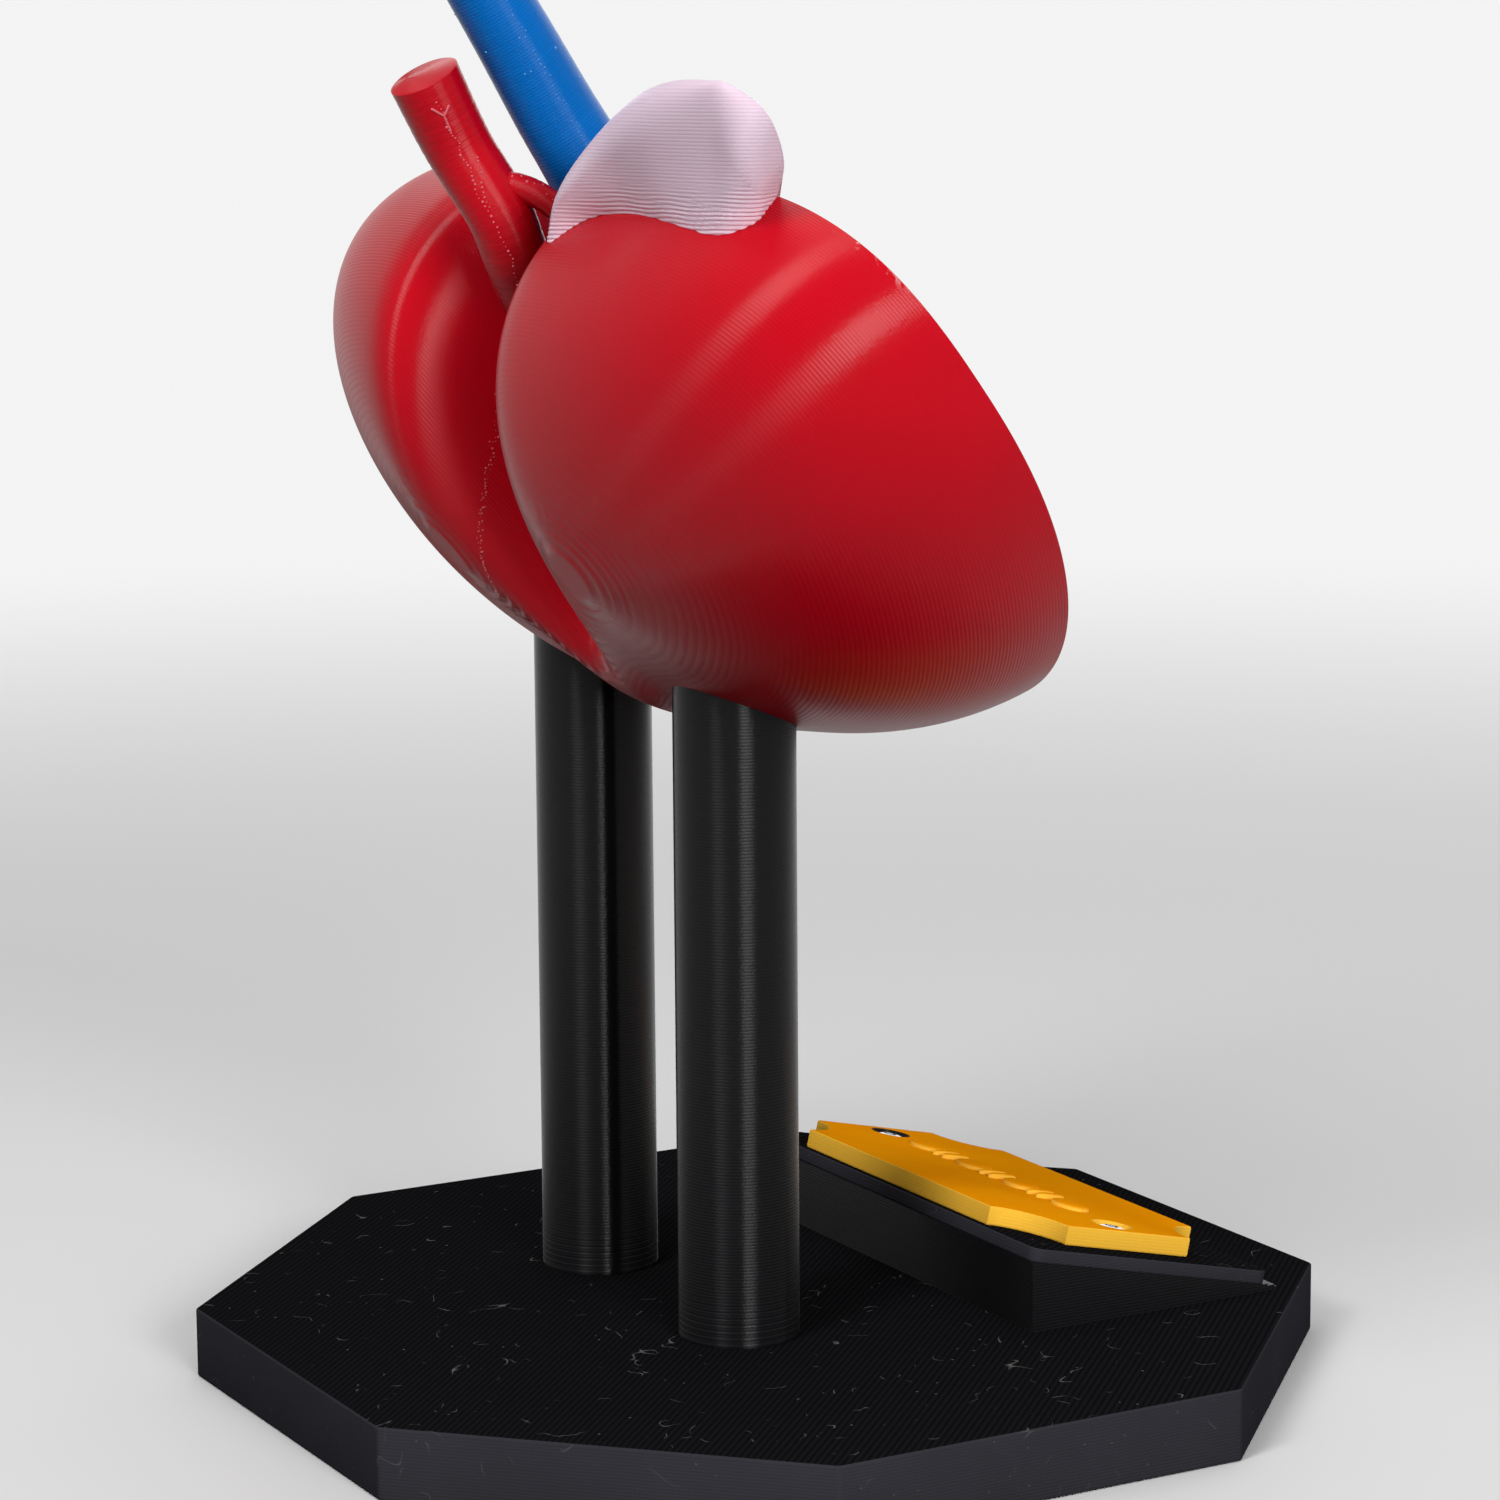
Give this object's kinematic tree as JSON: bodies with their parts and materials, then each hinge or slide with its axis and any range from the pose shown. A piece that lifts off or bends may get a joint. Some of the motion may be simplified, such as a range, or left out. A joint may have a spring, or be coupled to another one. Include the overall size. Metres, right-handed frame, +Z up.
{
  "type": "kidney anatomy model",
  "caption": "Half kidney anatomy model with its artery, vein and adrenal gland, held on posts over an octagonal base with a tilted nameplate.",
  "frame": {"origin": "centre of the base's underside", "axes": "+Z up, -Y towards the reader and the cut face, +X to the reader's right, where the shorter lobe is"},
  "size_m": [0.1551, 0.15, 0.2057],
  "materials": {
    "black_print": "printed, satin",
    "gold_print": "printed, silky gloss",
    "kidney_red": "printed, gloss",
    "vessel_red": "printed, gloss",
    "vein_blue": "printed, satin",
    "gland_lilac": "printed, satin",
    "medulla_red": "printed, satin",
    "pelvis_cream": "printed, satin",
    "screw_steel": "bright steel"
  },
  "bodies": {
    "root": {"base_plate": "black_print", "post_left": "black_print", "post_right": "black_print", "nameplate_wedge": "black_print", "nameplate_backing": "black_print", "nameplate": "gold_print", "nameplate_screw_left": "screw_steel", "nameplate_screw_right": "screw_steel", "kidney_body": "kidney_red", "renal_artery": "vessel_red", "renal_vein": "vein_blue", "adrenal_gland": "gland_lilac", "renal_pelvis": "pelvis_cream", "pyramid_1": "medulla_red", "pyramid_2": "medulla_red", "pyramid_3": "medulla_red", "pyramid_4": "medulla_red", "pyramid_5": "medulla_red", "pyramid_6": "medulla_red", "pyramid_7": "medulla_red", "pyramid_8": "medulla_red", "pyramid_9": "medulla_red", "pyramid_10": "medulla_red", "pyramid_11": "medulla_red"}
  },
  "joints": []
}
